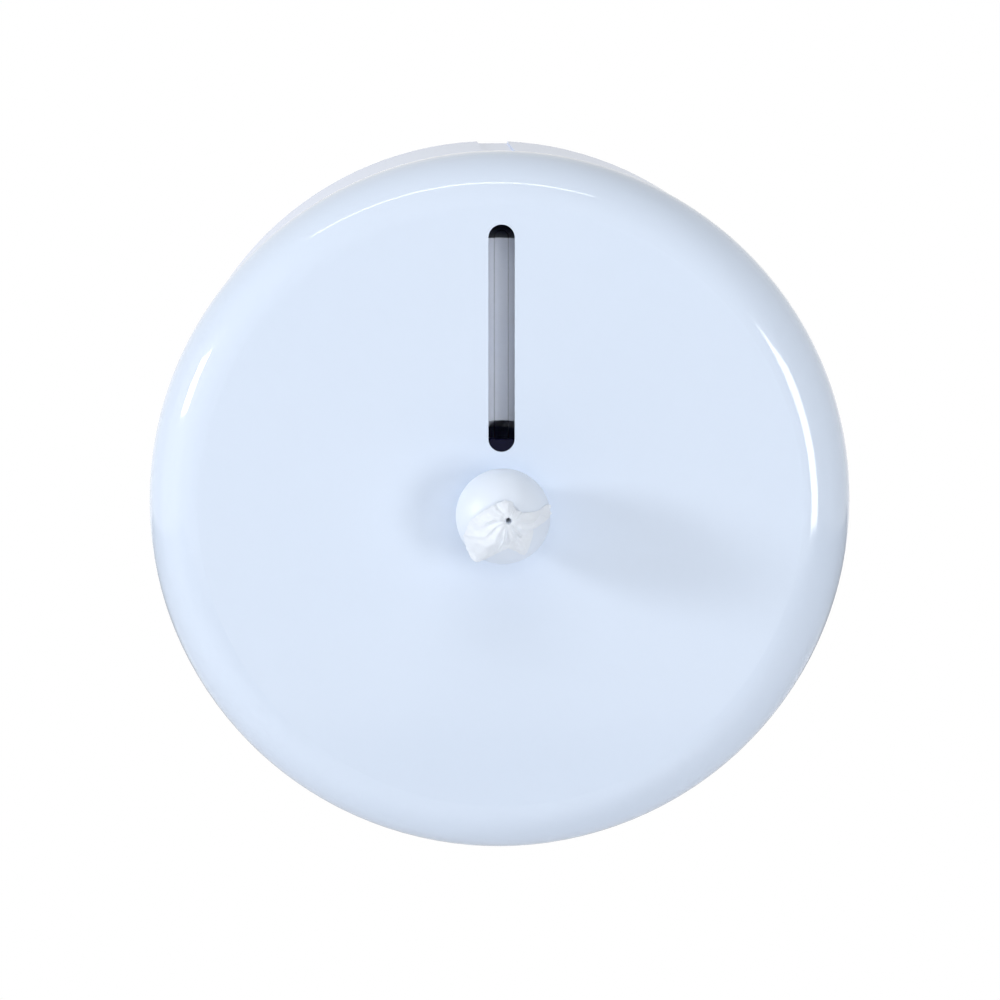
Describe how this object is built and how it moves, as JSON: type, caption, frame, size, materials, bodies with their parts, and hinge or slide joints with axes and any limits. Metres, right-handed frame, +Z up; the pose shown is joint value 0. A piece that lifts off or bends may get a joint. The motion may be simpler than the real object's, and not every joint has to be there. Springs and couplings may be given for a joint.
{
  "type": "centrefeed toilet tissue dispenser",
  "caption": "Round wall-held tissue dispenser with a hinged dish-shaped cover, a sight window, a key lock on top and a swivelling knob that the tissue is drawn through.",
  "frame": {"origin": "centre of the four wall screws, on the back face that lies on the wall", "axes": "+Y into the wall, -Y the front of the cover, +Z up, +X to the right seen from the front"},
  "size_m": [0.27, 0.1929, 0.27],
  "materials": {
    "housing_plastic": "gloss",
    "cover_plastic": "gloss",
    "nozzle_plastic": "satin",
    "inner_plastic": "satin",
    "smoked_plastic": "gloss",
    "screw_steel": "satin",
    "lock_metal": "polished",
    "tissue": "matte"
  },
  "bodies": {
    "housing": {"base_housing": "housing_plastic", "roll_cradle": "inner_plastic", "cradle_screws": "screw_steel", "lock_sleeve": "lock_metal", "lock_nut": "lock_metal", "hinge_pin_left": "screw_steel", "hinge_pin_right": "screw_steel", "tissue_roll": "tissue", "tissue_lead": "tissue"},
    "lock": {"lock_barrel": "lock_metal", "lock_cam": "screw_steel", "cam_screw": "screw_steel"},
    "cover": {"front_cover": "cover_plastic", "window_lens": "smoked_plastic", "cover_catch": "inner_plastic", "catch_screws": "screw_steel", "nozzle_socket": "nozzle_plastic", "socket_screws": "screw_steel"},
    "nozzle": {"nozzle_neck": "nozzle_plastic", "nozzle_ring": "screw_steel", "nozzle_head": "nozzle_plastic", "nozzle_orifice": "nozzle_plastic", "tissue_tail": "tissue"}
  },
  "joints": [
    {"name": "cover_hinge", "type": "hinge", "parent": "housing", "child": "cover", "pos_m": [0, -0.112, -0.128], "axis": [1, 0, 0], "range_deg": [0, 95]},
    {"name": "lock_turn", "type": "hinge", "parent": "housing", "child": "lock", "pos_m": [0, -0.108, 0.12], "axis": [0, 0, 1], "range_deg": [0, 90]},
    {"name": "nozzle_swivel", "type": "hinge", "parent": "cover", "child": "nozzle", "pos_m": [0, -0.15, 0], "axis": [0, -1, 0], "continuous": true}
  ]
}
